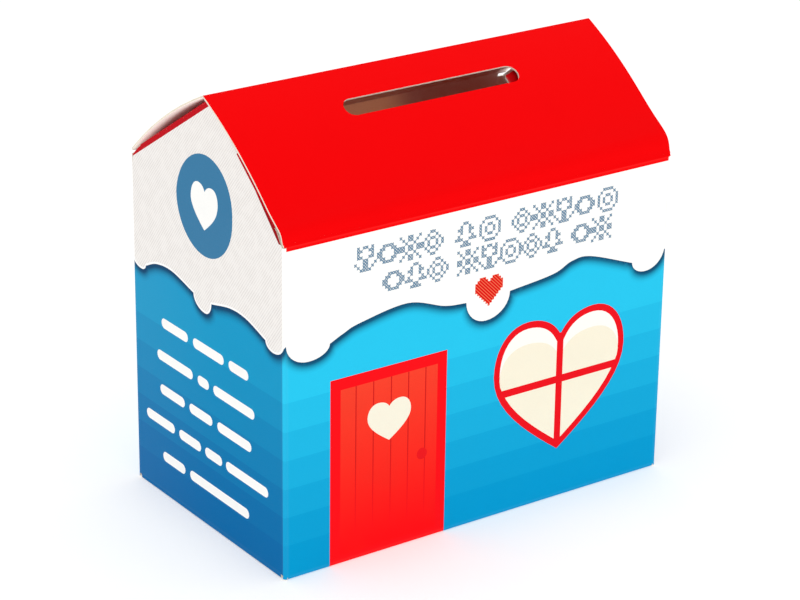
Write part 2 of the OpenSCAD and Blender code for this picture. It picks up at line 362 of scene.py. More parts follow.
def bare_board(name, patch=False, ends=False):
    """Unprinted board: fibres, flecks, a slightly uneven tone, and a faint glow painted in for
    red light through the sheet.

    patch paints in the light that falls through the coin slot, and ends paints in the light
    that the pale surroundings throw on the open ends of the roof.
    """
    f = Finish(name, 0.85, 0.2)
    f.shader.inputs["Emission Color"].default_value = THROUGH_SHEET
    f.shader.inputs["Emission Strength"].default_value = 1.0
    if patch:
        # painted light patch: browner beyond a slanting crease, with painted shade along it, and
        # gone past the slot's middle
        crease = f.op("ADD", f.v, f.op("MULTIPLY", f.u, -0.07))
        beam = f.mix((0.15, 0.05, 0.018, 1), (0.27, 0.14, 0.06, 1), f.remap(crease, 5.0, 5.7))
        dark = f.remap(f.op("ABSOLUTE", f.op("SUBTRACT", crease, 5.0)), 0.2, 0.6, 1.0, 0.0)
        beam = f.mix(beam, (0.03, 0.001, 0.0004, 1), dark)
        beam = f.mix(beam, THROUGH_SHEET, f.remap(f.u, 17.0, 30.0))
        f.link(beam, "Emission Color")
    if ends:
        # painted light: the open ends glow pale, fading inward
        inward = f.op("SUBTRACT", HALF_W, f.op("ABSOLUTE", f.u))
        glow = f.mix((0.36, 0.3, 0.28, 1), THROUGH_SHEET, f.remap(inward, 0.6, 4.8))
        f.link(glow, "Emission Color")
    fibre = f.noise(1.6, 4.0, (1, 3.2, 1))
    fleck = f.noise(7.0, 2.0, (1, 0.35, 1))
    cloud = f.noise(0.06, 2.0)
    dark = tuple(c * 0.80 for c in BARE[:3]) + (1,)
    tone = f.mix(BARE, dark, f.remap(fibre, 0.45, 0.75, 0.0, 0.5))
    tone = f.mix(tone, rgb(150, 132, 108), f.remap(fleck, 0.68, 0.78, 0.0, 0.5))
    tone = f.mix(tone, rgb(255, 253, 248), f.remap(cloud, 0.35, 0.75, 0.08, 0.2))
    f.raise_by(fibre, 22.0)
    f.raise_by(fleck, 10.0)
    return f.close(tone, fibre)


def cut_edge():
    """The cut through the board: layers of fibre between the white faces."""
    f = Finish("cut_edge", 0.9, 0.15)
    layer = f.noise(1.0, 3.0, (0.6, 14, 1))
    tuft = f.noise(4.0, 3.0)
    depth = f.op("ABSOLUTE", f.op("SUBTRACT", f.v, BOARD / 2))
    tone = f.mix(rgb(243, 233, 215), rgb(206, 190, 164), f.remap(layer, 0.4, 0.7, 0.0, 0.7))
    tone = f.mix(tone, rgb(250, 247, 240), f.remap(depth, BOARD * 0.30, BOARD * 0.48))
    f.raise_by(layer, 30.0)
    f.raise_by(tuft, 30.0)
    return f.close(tone, tuft)


def glue_film():
    f = Finish("glue_film", 0.3, 0.5)
    pool = f.noise(0.4, 2.0)
    bubble = f.noise(2.4, 1.0)
    tone = f.mix(rgb(236, 226, 190), rgb(206, 188, 140), f.remap(pool, 0.35, 0.7))
    f.raise_by(pool, 25.0)
    f.raise_by(f.remap(bubble, 0.6, 0.7), 10.0)
    return f.close(tone, bubble)


ink("roof_red", rgb(252, 0, 4), rgb(246, 0, 4), (0, 45), grain=0.03)
# border_red_shaded is the roof's red painted darker, as painted shade along the folds under the
# roof's edges
ink("border_red_shaded", rgb(190, 10, 26))
# flap_red_shaded is the roof's red painted darker, as painted shade for the flaps under the roof
ink("flap_red_shaded", rgb(190, 4, 12))
ink("front_blue", rgb(40, 199, 238), rgb(0, 155, 208), (6, 54), 0.03, True)
# side_blue_shaded is the front's blue painted darker, as painted shade for the walls that turn away
# from the light
ink("side_blue_shaded", rgb(20, 151, 197), rgb(0, 104, 165), (6, 54), 0.04, True, haze=(-77, -25))
ink("front_icing", rgb(254, 253, 249), grain=0.02)
ink("side_icing", rgb(243, 239, 235), grain=0.03, weave=0.95)
ink("rim_white", rgb(254, 253, 251), grain=0.02)
ink("door_red", rgb(252, 14, 24))
ink("plank_red", rgb(246, 66, 44), rgb(252, 12, 20), (4, 50), grain=0.08)
ink("plank_line", rgb(206, 26, 26), rgb(250, 14, 24), (8, 30))
ink("knob_red", rgb(234, 24, 30))
ink("cream", rgb(246, 241, 221))
ink("pane_cream", rgb(247, 239, 216), rgb(249, 243, 221), (14, 55))
# painted shadow: the red of the flap fold in the shade under the roof's edge
ink("painted_shadow_red", rgb(150, 4, 14))
ink("pane_white", rgb(252, 251, 244))
ink("window_red", rgb(238, 18, 30))
ink("stitch_blue", rgb(100, 134, 160), stitch=STITCH)
ink("stitch_red", rgb(222, 16, 12), slant=0.95)
ink("badge_blue", rgb(60, 122, 162))
ink("plain_white", rgb(250, 249, 246))
REVERSE = bare_board("reverse_board")
TUCK_REVERSE_PAINTED_LIGHT = bare_board("tuck_reverse_painted_light", patch=True)
ROOF_REVERSE_PAINTED_GLOW = bare_board("roof_reverse_painted_glow", ends=True)
EDGE = cut_edge()
GLUE_FILM = glue_film()


# ---------- boards ----------

def board(name, rings, place, base, layers=(), guides=(), fields=None, wear=False,
          thick=BOARD, under=REVERSE, edge=EDGE):
    """A sheet drawn flat and bent to its place.

    rings are the outline and its holes. Each layer is (loop, ink name), later ones on top.
    guides are paths or points where the mesh needs an edge or a vertex. place turns a flat point
    and a depth below the printed face into a place. fields gives point attributes by name.
    """
    points, edges = [], []
    paths = [(r, True) for r in rings] + [(loop, True) for loop, _ in layers]
    if wear:
        # keeps the wear beside the edges
        paths += [(inset(rings[0], margin), True) for margin in (0.3, 0.8)]
    for path, closed in paths + [(g, False) for g in guides]:
        first, count = len(points), len(path)
        points += map(Vector, path)
        edges += [(first + i, first + (i + 1) % count) for i in range(count - (not closed))]
    flat, _, triangles, *_ = delaunay_2d_cdt(points, edges, [], 0, 1e-4)

    bounds = []
    for loop, shade in [(r, None) for r in rings] + list(layers):
        xs, ys = [p[0] for p in loop], [p[1] for p in loop]
        bounds.append((min(xs), max(xs), min(ys), max(ys), loop, shade))
    outline, holes, prints = bounds[0], bounds[1:len(rings)], bounds[len(rings):]

    def covers(b, x, y):
        return b[0] <= x <= b[1] and b[2] <= y <= b[3] and within(x, y, b[4])

    names = [base]
    kept, tints = [], []
    for t in triangles:
        x = sum(flat[i].x for i in t) / 3
        y = sum(flat[i].y for i in t) / 3
        if not covers(outline, x, y) or any(covers(h, x, y) for h in holes):
            continue
        shade = next((b[5] for b in reversed(prints) if covers(b, x, y)), base)
        if shade not in names:
            names.append(shade)
        kept.append(tuple(t))
        tints.append(names.index(shade))

    used = sorted({i for t in kept for i in t})
    index = {old: new for new, old in enumerate(used)}
    flat = [tuple(flat[i]) for i in used]
    kept = [tuple(index[i] for i in t) for t in kept]
    count = len(flat)
    face = [Vector(place(x, y, 0)) for x, y in flat]
    back = [Vector(place(x, y, thick)) for x, y in flat]
    a, b, c = (face[i] for i in kept[0])
    inside_out = (b - a).cross(c - a).dot(a - back[kept[0][0]]) < 0

    sides = {(t[i], t[(i + 1) % 3]) for t in kept for i in range(3)}
    rim = sorted((i, j) for i, j in sides if (j, i) not in sides)
    faces = kept + [tuple(i + count for i in t[::-1]) for t in kept]
    faces += [(i, i + count, j + count, j) for i, j in rim]
    coords = [flat[i] for t in kept for i in t] + [flat[i] for t in kept for i in t[::-1]]
    for i, j in rim:
        run = [0.9 * x + 0.45 * y for x, y in (flat[i], flat[j])]
        coords += [(run[0], 0), (run[0], thick), (run[1], thick), (run[1], 0)]
    tint = tints + [len(names)] * len(kept) + [len(names) + 1] * len(rim)
    if inside_out:
        flipped, start = [], 0
        for f in faces:
            flipped += coords[start:start + len(f)][::-1]
            start += len(f)
        faces, coords = [f[::-1] for f in faces], flipped

    mesh = bpy.data.meshes.new(name)
    mesh.from_pydata([p * MM for p in face + back], [], faces)
    for shade in (*names, under, edge):
        mesh.materials.append(INK[shade] if isinstance(shade, str) else shade)
    mesh.polygons.foreach_set("material_index", tint)
    mesh.polygons.foreach_set("use_smooth", [True] * len(faces))
    uv = mesh.uv_layers.new(name="print")
    uv.data.foreach_set("uv", [c for pair in coords for c in pair])
    rims = {frozenset((i + k, j + k)) for i, j in rim for k in (0, count)}
    sharp = mesh.attributes.new("sharp_edge", "BOOLEAN", "EDGE")
    sharp.data.foreach_set("value", [frozenset(e.vertices) in rims for e in mesh.edges])
    for key, field in (fields or {}).items():
        values = [field(x, y) for x, y in flat]
        mesh.attributes.new(key, "FLOAT", "POINT").data.foreach_set("value", values + [0.0] * count)
    mesh.update()
    return new_object(name, mesh)


def settle(piece, node, body="root"):
    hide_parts(node)
    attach(piece, body)


def span_between(piece, node):
    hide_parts(node)
    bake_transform(piece)


# ---------- the walls, one long strip ----------

RUNS = [("seam", mm_size("side_seam_flap").y), ("seam_fold", ARC),
        ("back", mm_size("back_wall").x), ("back_fold", ARC), ("left", 2 * IN_D),
        ("left_fold", ARC), ("front", 2 * IN_W), ("right_fold", ARC), ("right", 2 * IN_D + BEND)]


def lay_out():
    """Each run's start and end along the strip, its first corner and its heading.

    The strip starts at the seam flap's free edge. Zero is the middle of the front left fold.
    """
    s = -sum(length for _, length in RUNS[:5]) - ARC / 2
    point, heading, table = Vector((seam_high.x, seam_low.y)), math.pi / 2, {}
    for name, length in RUNS:
        fold = name.endswith("fold")
        table[name] = (s, s + length, point.copy(), heading, fold)
        ahead = Vector((math.cos(heading), math.sin(heading)))
        left = Vector((-ahead.y, ahead.x))
        point = point + ((ahead + left) * BEND if fold else ahead * length)
        heading += math.pi / 2 * fold
        s += length
    return table


STRIP = lay_out()


def wrap(s, z, depth):
    """A place on the wall strip: s along it, z up, depth in from the printed face."""
    s0, s1, point, heading, fold = next(
        (r for r in STRIP.values() if s <= r[1] + 1e-6), STRIP["right"])
    if fold:
        centre = point + Vector((-math.sin(heading), math.cos(heading))) * BEND
        a = heading + (s - s0) / BEND
        p = centre + Vector((math.sin(a), -math.cos(a))) * (BEND - depth)
    else:
        ahead = Vector((math.cos(heading), math.sin(heading)))
        p = point + ahead * (s - s0) + Vector((-ahead.y, ahead.x)) * depth
    return (p.x, p.y, z)


def lean_in(s, v, depth):
    """As wrap, for a gable: above LEAN_Z the board leans inward."""
    x, y, z = wrap(s, min(v, LEAN_Z), depth)
    side, inward, rise = math.copysign(1, x), HALF_W - abs(x), max(0.0, v - LEAN_Z)
    lean = LEAN if rise else 0
    return (side * (HALF_W - inward * math.cos(lean) - rise * math.sin(lean)), y,
            z + rise * math.cos(lean) - inward * math.sin(lean))


def front_s(x):
    return STRIP["front"][0] + x + IN_W


def left_s(y):
    return STRIP["left"][1] - (y + IN_D)


def right_s(y):
    return STRIP["right"][0] + y + IN_D


def back_s(x):
    return STRIP["back"][1] - (x + IN_W)


# The icing's lower edge. On the front, x and z; on the gables, y and z.
FRONT_DRIPS = (
    lobe((-61.85, 66.3), (-55.0, 60.6), (-48.6, 64.0))
    + smooth([(-48.6, 64.0), (-44.4, 65.9), (-39.4, 67.6), (-24.5, 69.7), (-12.7, 66.2),
              (-5.6, 65.4)])
    + lobe((-5.6, 65.4), (0.9, 58.9), (8.7, 65.6))
    + smooth([(8.7, 65.6), (23.1, 67.2), (29.4, 69.6), (35.9, 69.6), (50.5, 64.4)])
    + lobe((50.5, 64.4), (55.3, 61.0), (61.85, 67.3)))
SIDE_DRIPS = (
    lobe((37.3, 66.2), (33.2, 64.0), (30.8, 65.6))
    + smooth([(30.8, 65.6), (25.0, 68.0), (17.1, 68.6), (6.1, 66.2)])
    + lobe((6.1, 66.2), (0.4, 62.3), (-2.8, 66.0))
    + smooth([(-2.8, 66.0), (-12.0, 68.0), (-19.7, 67.8), (-28.9, 65.2)])
    + lobe((-28.9, 65.2), (-32.6, 62.95), (-37.3, 66.3)))


def on_strip(place_s, points):
    """Points given across a wall, moved to their place along the strip."""
    return [(place_s(a), z) for a, z in points]


def along(place_s, drips):
    path = on_strip(place_s, drips)
    return path if path[0][0] < path[-1][0] else path[::-1]


ICING = (along(back_s, FRONT_DRIPS) + along(left_s, SIDE_DRIPS) + along(front_s, FRONT_DRIPS)
         + along(right_s, SIDE_DRIPS))


def icing_part(s0, s1):
    """The icing's edge and its loop between two places on the strip."""
    ids = [i for i, p in enumerate(ICING) if s0 - 6 < p[0] < s1 + 6]
    path = ICING[max(0, ids[0] - 1):ids[-1] + 2]
    return path, path + [(path[-1][0], OFF_SHEET), (path[0][0], OFF_SHEET)]


def shade_field(path, loop):
    """Darkness of the printed shadow, which falls down and to the right of the icing."""
    darkest, reach = 0.92, 2.6

    def shade(s, v):
        s, v = s - 0.35, v + 0.75
        if within(s, v, loop):
            return darkest
        return darkest * (1 - min(1.0, nearest(s, v, path) / reach)) ** 1.6
    return shade


def height_at(path, s):
    """Height of the icing's edge at s."""
    return next((a[1] + (b[1] - a[1]) * (s - a[0]) / (b[0] - a[0])
                 for a, b in zip(path, path[1:]) if a[0] <= s <= b[0]), path[-1][1])


def shade_points(path, loop, s0, s1, columns=()):
    """Vertices that carry the shadow's fade, with more on the sheet's own edges."""
    out = []
    for s in columns or (s0, s0 + 0.3, s0 + 0.8, s1 - 0.8, s1 - 0.3, s1):
        edge = height_at(path, s)
        out += [[(s, edge - 0.5 * i)] for i in range(1, 12)]
    last = None
    for (x0, y0), (x1, y1) in zip(path, path[1:]):
        middle = Vector(((x0 + x1) / 2, (y0 + y1) / 2))
        if last and (middle - last).length < 0.7:
            continue
        last = middle
        normal = Vector((y1 - y0, x0 - x1)).normalized()
        for reach in (0.45, 0.9, 1.4, 2.0, 2.7, 3.5):
            p = middle + normal * reach
            if s0 < p.x < s1 and not within(p.x, p.y, loop):
                out.append([tuple(p)])
    return out


def edge_rub(x0, x1, y0, y1, width, amount):
    """Wear that fades over this width inside a rectangle's sides."""
    def rub(x, y):
        return amount * max(0.0, 1 - min(x - x0, x1 - x, y - y0, y1 - y) / width)
    return rub


def wall_rub(s0, s1, z0):
    """Faint wear beside the folds."""
    return edge_rub(s0, s1, z0, math.inf, 0.7, 0.02)


def wall_panel(side, top, prints=()):
    s0, s1 = STRIP[side][:2]
    path, loop = icing_part(s0, s1)
    piece = board(f"board_{side}_wall", [rectangle(s0, WALL_FOOT, s1, top)], wrap, "front_blue",
                  [(loop, "front_icing"), *prints], shade_points(path, loop, s0, s1),
                  {"shade": shade_field(path, loop), "rub": wall_rub(s0, s1, WALL_FOOT)}, True)
    settle(piece, f"{side}_wall")


# Cross-stitch motifs: the left half of each row of stitches, from the top down
MOTIFS = {
    "diamond": "...# ..#. .#.# #.#. #.#. .#.# ..#. ...#",
    "flake": "#..# .#.# ..#. ##.# ##.# ..#. .#.# #..#",
    "tulip": ".#.# .##. .#.. .##. ...# #..# .#.# ..##",
    "knot": "..## .#.. #..# #.#. #.#. #..# .#.. ..##",
    "pine": "...# ..#. .##. ..#. .#.. ###. ...# ..##",
    "bead": ".... ..## .##. ##.. ##.. .##. ..## ....",
}


def stitches(column, row, count, pitch, shade):
    """Some stitches side by side, on a grid that is the whole sheet's."""
    return (rectangle(column * pitch, row * pitch, (column + count) * pitch, (row + 1) * pitch),
            shade)


def sampler(x, z, motifs, advance, gap):
    """A row of motifs from its lower left (x, z), with a gap at each comma."""
    out = []
    for group in motifs.split(","):
        for motif in group.split():
            for r, half in enumerate(reversed(MOTIFS[motif].split())):
                column = round(front_s(x) / STITCH)
                for mark, run in groupby(half + half[::-1]):
                    count = len(list(run))
                    if mark == "#":
                        out.append(stitches(column, round(z / STITCH) + r, count, STITCH,
                                            "stitch_blue"))
                    column += count
            x += advance
        x += gap
    return out


def stitched_heart(x, z):
    """A small heart of red stitches, with stepped sides and its tip at (x, z)."""
    pitch = 0.7
    rows = [(-min(r, 6), min(r, 6) + 1, r) for r in range(10)]
    rows += [(-5, 0, 10), (1, 6, 10), (-4, -1, 11), (2, 5, 11)]
    column, level = round(front_s(x) / pitch), round(z / pitch)
    return [stitches(column + a, level + r, b - a, pitch, "stitch_red") for a, b, r in rows]


def on_front(prints):
    """Prints drawn with x from the middle of the front wall, moved to the strip."""
    return [([(x + front_s(0), y) for x, y in loop], shade) for loop, shade in prints]


DOOR_LEFT, DOOR_RIGHT = -48.4, -11.5


def door():
    lines = [(rectangle(x - 0.17, 8, x + 0.17, 50.2), "plank_line")
             for x in (-40.4, -34.9, -29.3, -23.8, -18.3)]
    return on_front([
        (rectangle(DOOR_LEFT, -9, DOOR_RIGHT, 53.5), "door_red"),
        (rectangle(-45.2, 2.5, -14.5, 50.2), "plank_red"), *lines,
        (heart(-29.85, 32.2, 6.9, 11.4), "cream"),
        (arc((-19.2, 25.4), 1.65, 0, 345, 23), "knob_red")])


def window():
    x, bar, thick = 26.4, 35.8, 1.1     # its middle, the cross bar's height, half the bars' width
    outer = heart(x, 14.9, 22.3, 40.2)
    inner = inset(outer, 1.95)
    upper = [p for p in inner if p[1] > bar]
    shine = [p for p in upper if p[0] > x - 0.01] + [p for p in upper if p[0] <= x - 0.01]
    lit = [(a, bar + (b - bar) * 0.74) for a, b in shine]
    return on_front([
        (outer, "window_red"), (inner, "pane_cream"), (shine, "pane_white"), (lit, "pane_cream"),
        (rectangle(x - thick, 16.5, x + thick, 49.5), "window_red"),
        (rectangle(6.3, bar - thick, 46.5, bar + thick), "window_red")])


border = [(rectangle(STRIP["seam"][0], WALL_TOP + TURN_GAP - BORDER, STRIP["right"][1], OFF_SHEET),
           "roof_red")]
upper = sampler(-41.6, 81.5, "tulip bead flake diamond, pine knot, diamond flake tulip bead knot",
                7.15, 3.6)
lower = sampler(-32.2, 73.5, "bead pine diamond, flake tulip knot diamond pine, bead flake",
                6.85, 2.9)
wall_panel("front", WALL_TOP,
           border + upper + lower + stitched_heart(1.7, 62.9) + door() + window())
wall_panel("back", BACK_TOP)


# ---------- gables ----------

def gable_outline(place_s, end_y):
    """Its slopes end HOLD_GAP below the flap folds and leave a small relief at the eaves."""
    relief = 3.5

    def corner(y):
        foot = FRONT_FOOT if y < 0 else BACK_FOOT
        slope = math.atan2(TOP.y - foot.y, abs(foot.x))
        fold_z = LEAN_Z + (foot.y + (TOP.y - foot.y) * (y - foot.x) / (TOP.x - foot.x))
        return (place_s(y), fold_z - HOLD_GAP / math.cos(slope))
    return [(place_s(-IN_D), GABLE_FOOT), (place_s(end_y), GABLE_FOOT), (place_s(end_y), BACK_TOP),
            corner(HALF_D - relief), (place_s(0), LEAN_Z + TOP.y - HOLD_GAP * 1.22),
            corner(-HALF_D + relief), (place_s(-IN_D), CORNER_TOP)]


# Red on the gables, as y and z: what runs over the back slope's fold, in the darker red of painted
# shade, and a painted shadow, the dark sliver of fold that shows beside the front slope's
OVER_BACK = ((-0.3, 119.4), (37.1, 94.9), (40, 94.9), (40, OFF_SHEET), (-0.3, OFF_SHEET))
SHADOW_BESIDE_FRONT = ((-39, 93.4), (-35.2, 93.4), (-18, 108.5), (-22, 110))


def rim_loop(path, width):
    """A narrow band that follows the icing's edge on the icing's side."""
    upper = []
    for i, (x, y) in enumerate(path):
        a, b = Vector(path[max(0, i - 1)]), Vector(path[min(len(path) - 1, i + 1)])
        normal = Vector((a.y - b.y, b.x - a.x)).normalized()
        upper.append((x + normal.x * width, y + normal.y * width))
    return path + upper[::-1]


def gable(side, place_s, end_y, prints=()):
    s0, s1 = STRIP[side][:2]
    path, loop = icing_part(s0, s1)
    layers = [(loop, "side_icing"), (rim_loop(path, 0.55), "rim_white"),
              (on_strip(place_s, OVER_BACK), "border_red_shaded"),
              (on_strip(place_s, SHADOW_BESIDE_FRONT), "painted_shadow_red"), *prints]
    piece = board(f"board_{side}_gable", [gable_outline(place_s, end_y)], lean_in, "side_blue_shaded",
                  layers, shade_points(path, loop, s0, s1) + [[(s0, LEAN_Z), (s1, LEAN_Z)]],
                  {"shade": shade_field(path, loop), "rub": wall_rub(s0, s1, GABLE_FOOT)}, True)
    settle(piece, f"{side}_gable_wall")


def dashes():
    """Five lines of plain dashes, as y from and to, at the height of each line."""
    rows = ((51.9, (23.0, 9.4), (6.8, -8.6), (-11.0, -20.6)),
            (41.9, (25.6, 7.2), (4.7, -1.0), (-3.2, -23.4)),
            (32.0, (24.4, 11.6), (9.2, -2.5), (-5.0, -21.8)),
            (22.1, (32.0, 17.1), (14.8, 3.5), (1.4, -7.2), (-9.1, -29.8)),
            (12.0, (23.6, 11.9), (9.4, -20.4)))
    return [(capsule(left_s(a), left_s(b), z, 1.45), "plain_white")
            for z, *row in rows for a, b in row]


badge_s, badge_z = left_s(0.2), 92.2
badge = [(arc((badge_s, badge_z), 13.8, 0, 352.5, 47), "badge_blue"),
         (heart(badge_s, badge_z - 6.6, 6.6, 12.4), "plain_white")]
gable("left", left_s, IN_D, dashes() + badge)
gable("right", right_s, HALF_D)


# ---------- upright folds ----------

def corner_fold(side, run, z1, blue):
    s0, s1 = STRIP[run][:2]
    path, loop = icing_part(s0, s1)
    columns = [s0 + (s1 - s0) * i / 8 for i in range(9)]
    lines = [[(s, CORNER_FOOT), (s, z1)] for s in columns[1:-1]]
    piece = board(f"fold_{side}", [rectangle(s0, CORNER_FOOT, s1, z1)], wrap, blue,
                  [(loop, "front_icing")], lines + shade_points(path, loop, s0, s1, columns),
                  {"shade": shade_field(path, loop), "rub": lambda s, z: 0.01})
    settle(piece, f"{side}_corner_crease")


corner_fold("front_left", "left_fold", CORNER_TOP, "front_blue")
corner_fold("front_right", "right_fold", CORNER_TOP, "front_blue")
corner_fold("back_left", "back_fold", BACK_TOP, "side_blue_shaded")
corner_fold("back_right", "seam_fold", BACK_TOP, "front_blue")


# ---------- side seam ----------

def seam_ring(margin):
    s0, s1 = STRIP["seam"][:2]
    low, high = seam_low.z, seam_high.z
    return [(s0 + margin, low + 3 + margin), (s1 - margin, low + margin),
            (s1 - margin, high - margin), (s0 + margin, high - 3 - margin)]


seam = board("board_seam_flap", [seam_ring(0)], wrap, "plain_white")
settle(seam, "side_seam_flap")


def wavy(ring, swing, length):
    """A loop whose sides wander a little, as an edge of glue does."""
    out = []
    for a, b in zip(ring, ring[1:] + ring[:1]):
        a, b = Vector(a), Vector(b)
        steps = max(2, round((b - a).length / length))
        side = Vector((b.y - a.y, a.x - b.x)).normalized()
        for i in range(steps):
            t = i / steps
            out.append(tuple(a.lerp(b, t) - side * swing * abs(math.sin(2.3 * i + a.x)) * (t > 0)))
    return out


def on_seam(s, z, depth):
    x, y, z = wrap(s, z, 0)
    return (x + GLUE - depth, y, z)


def glue_patch(name, node, ring, place):
    film = board(name, [ring], place, GLUE_FILM, thick=GLUE, under=GLUE_FILM, edge=GLUE_FILM)
    settle(film, node)


glue_patch("glue_side_seam", "side_seam_glue", wavy(seam_ring(1.5), 0.6, 2.5), on_seam)


# ---------- roof ----------

class Slope:
    """A bowed roof panel between two hinge axes, measured along its middle surface."""

    def __init__(self, start, end, bow_left, bow_right, shoulder=0.0):
        self.start, self.end = start, end
        self.bows = bow_left, bow_right
        self.shoulder = shoulder
        self.length = self.arc_at(0)[3]

    def arc_at(self, x):
        """Centre, radius, first angle and length of the arc at x."""
        bow = self.bows[0] + (self.bows[1] - self.bows[0]) * (x + HALF_W) / (2 * HALF_W)
        chord = self.end - self.start
        c = chord.length
        r = c * c / (8 * bow) + bow / 2
        outward = Vector((-chord.y, chord.x)).normalized()
        centre = (self.start + self.end) / 2 - outward * (r - bow)
        first = math.atan2(self.start.y - centre.y, self.start.x - centre.x)
        return centre, r, first, 2 * r * math.asin(c / (2 * r))

    def swell(self, x, v):
        """How far the board stands out above its first fold, where it doesn't bend sharply."""
        t = (x + HALF_W) / (2 * HALF_W)
        high, run = self.shoulder * (1 + 0.7 * t), max(0.0, v - TURN_GAP) / (3 + 2 * t)
        return high * run ** 2 * math.exp(2 - 2 * run)

    def place(self, x, v, depth):
        centre, r, first, length = self.arc_at(x)
        a = first - v / self.length * length / r
        reach = r + BEAD - depth + self.swell(x, v)
        return (x, centre.x + reach * math.cos(a), centre.y + reach * math.sin(a))

    def heading(self, v):
        """Direction of travel along the slope at its middle, as (y, z)."""
        p, q = self.place(0, v - 0.01, BEAD), self.place(0, v + 0.01, BEAD)
        return Vector((q[1] - p[1], q[2] - p[2])).normalized()


def ribs(v0, v1, x0, x1, count):
    """Lines across a sheet that cut it into count strips."""
    levels = [v0 + (v1 - v0) * i / count for i in range(1, count)]
    return [[(x0, v), (x1, v)] for v in levels]


front_slope = Slope(EAVE, RIDGE, 2.3, 2.4, 1.0)
back_slope = Slope(RIDGE, TUCK, 1.8, 1.8)

SLOT_LEN, SLOT_W, SLOT_X, SLOT_DROP = 56.0, 5.6, 1.0, 13.4
slot_ring = capsule(SLOT_X - SLOT_LEN / 2, SLOT_X + SLOT_LEN / 2, front_slope.length - SLOT_DROP,
                    SLOT_W / 2, 14)


def roof_board(side, slope, count, holes=(), under=REVERSE):
    v0, v1 = TURN_GAP, slope.length - HOLD_GAP
    piece = board(f"board_{side}_roof", [rectangle(-HALF_W, v0, HALF_W, v1), *holes], slope.place,
                  "roof_red", (), ribs(v0, v1, -HALF_W, HALF_W, count), under=under)
    settle(piece, f"{side}_roof_panel", f"{side}_roof")


roof_board("front", front_slope, 48, [slot_ring])
roof_board("back", back_slope, 30, under=ROOF_REVERSE_PAINTED_GLOW)

tuck_slope = math.radians(20)
tuck_way = Vector((-math.sin(tuck_slope), -math.cos(tuck_slope)))


def on_tuck(x, v, depth):
    out = Vector((-tuck_way.y, tuck_way.x)) * (BEAD - depth)
    p = TUCK + tuck_way * v + out
    return (x, p.x, p.y)


wide, narrow, length, round_r = HALF_W - 3, HALF_W - 7, 14.0, 6.0
tuck_ring = ([(-wide, TURN_GAP), (wide, TURN_GAP)]
             + arc((narrow - round_r, length - round_r), round_r, -10, 90, 8)
             + arc((-narrow + round_r, length - round_r), round_r, 90, 190, 8))
tuck = board("board_tuck_flap", [tuck_ring], on_tuck, "roof_red",
             [(rectangle(-HALF_W, 5, HALF_W, 20), "plain_white")], under=TUCK_REVERSE_PAINTED_LIGHT)
settle(tuck, "roof_tuck_flap", "tuck")


# ---------- folds that turn ----------

def fold_curve(start, corner, end, first_out, steps=8):
    """Middle points and outward directions of a board bent from start round corner to end."""
    start, corner, end = map(Vector, (start, corner, end))
    out = []
    for i in range(steps + 1):
        t = i / steps
        point = start.lerp(corner, t).lerp(corner.lerp(end, t), t)
        way = (corner - start).lerp(end - corner, t).normalized()
        normal = Vector((-way.y, way.x))
        before = out[-1][1] if out else Vector(first_out)
        out.append((point, -normal if normal.dot(before) < 0 else normal))
    return out


def bent_strip(name, u0, u1, curve, to_place, shade, prints=()):
    """A narrow strip of board along a fold; to_place turns u and a profile point into a place."""
    steps = len(curve) - 1

    def place(u, v, depth):
        i = min(int(v), steps - 1)
        (p, n), (q, m) = curve[i], curve[i + 1]
        t = v - i
        return to_place(u, p.lerp(q, t) + n.lerp(m, t).normalized() * (BEAD - depth))

    return board(name, [rectangle(u0, 0, u1, steps)], place, shade, prints,
                 ribs(0, steps, u0, u1, steps))


def roof_fold(name, start, axis, way_out, first_out, short=0.15):
    """A fold of the roof, from start round a hinge axis to TURN_GAP beyond it."""
    half = HALF_W - short
    curve = fold_curve(start, axis, axis + way_out * TURN_GAP, first_out)
    strip = bent_strip(f"fold_{name}", -half, half, curve, lambda x, p: (x, p.x, p.y), "roof_red")
    span_between(strip, f"{name}_crease")


def last_of(slope):
    """Where a slope's panel ends, short of the axis at its end."""
    return slope.end - slope.heading(slope.length - HOLD_GAP) * HOLD_GAP


roof_fold("front_eave", (EAVE.x, WALL_TOP), EAVE,
          front_slope.heading(TURN_GAP), (-1, 0))
roof_fold("ridge", last_of(front_slope), RIDGE,
          back_slope.heading(TURN_GAP), (0, 1), short=0)
roof_fold("tuck", last_of(back_slope), TUCK, tuck_way, (0.5, 1))


# ---------- gable flaps ----------

